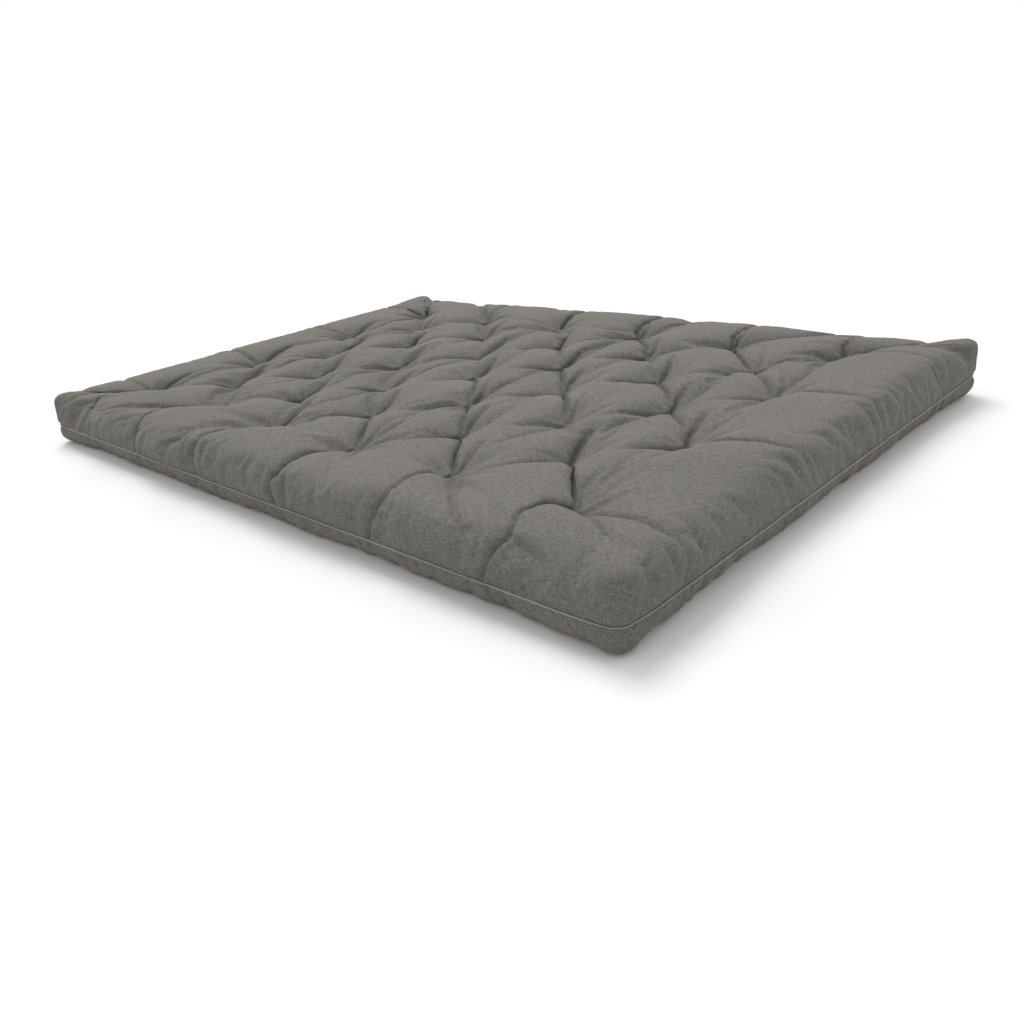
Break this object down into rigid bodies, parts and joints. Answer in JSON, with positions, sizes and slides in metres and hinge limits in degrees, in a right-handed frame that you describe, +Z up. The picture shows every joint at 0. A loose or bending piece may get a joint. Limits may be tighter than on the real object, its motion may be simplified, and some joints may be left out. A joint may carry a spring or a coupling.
{
  "type": "futon mattress",
  "caption": "Tufted double futon mattress: cloth casing with one side seam, cotton batting over a foam core, twine tufts, folding from bed to sofa along one line.",
  "frame": {"origin": "middle of the underside, on the plane that the mattress rests on", "axes": "+X along the 1.9 m length, +Y across the width from the seat side to the back side, +Z up"},
  "size_m": [1.9, 1.35, 0.14],
  "materials": {
    "casing_cloth": "matt heavy woven cotton-linen cloth, warm dark grey",
    "seam_thread": "matt spun thread, grey",
    "cotton_batting": "matt felted cotton, unbleached",
    "foam": "matt open-cell polyurethane foam, cream",
    "tufting_twine": "waxed twisted twine, dark grey"
  },
  "bodies": {
    "seat": {"top_panel_seat": "casing_cloth", "bottom_panel_seat": "casing_cloth", "seam_thread_seat": "seam_thread", "upper_batting_3_seat": "cotton_batting", "upper_batting_2_seat": "cotton_batting", "upper_batting_1_seat": "cotton_batting", "foam_core_seat": "foam", "lower_batting_2_seat": "cotton_batting", "lower_batting_1_seat": "cotton_batting", "tuft_ties_seat": "tufting_twine", "tuft_knots_seat": "tufting_twine"},
    "back": {"top_panel_back": "casing_cloth", "bottom_panel_back": "casing_cloth", "seam_thread_back": "seam_thread", "upper_batting_3_back": "cotton_batting", "upper_batting_2_back": "cotton_batting", "upper_batting_1_back": "cotton_batting", "foam_core_back": "foam", "lower_batting_2_back": "cotton_batting", "lower_batting_1_back": "cotton_batting", "tuft_ties_back": "tufting_twine", "tuft_knots_back": "tufting_twine"}
  },
  "joints": [
    {"name": "fold", "type": "hinge", "parent": "seat", "child": "back", "pos_m": [0, -0.0805, 0.14], "axis": [1, 0, 0], "range_deg": [0, 95]}
  ]
}
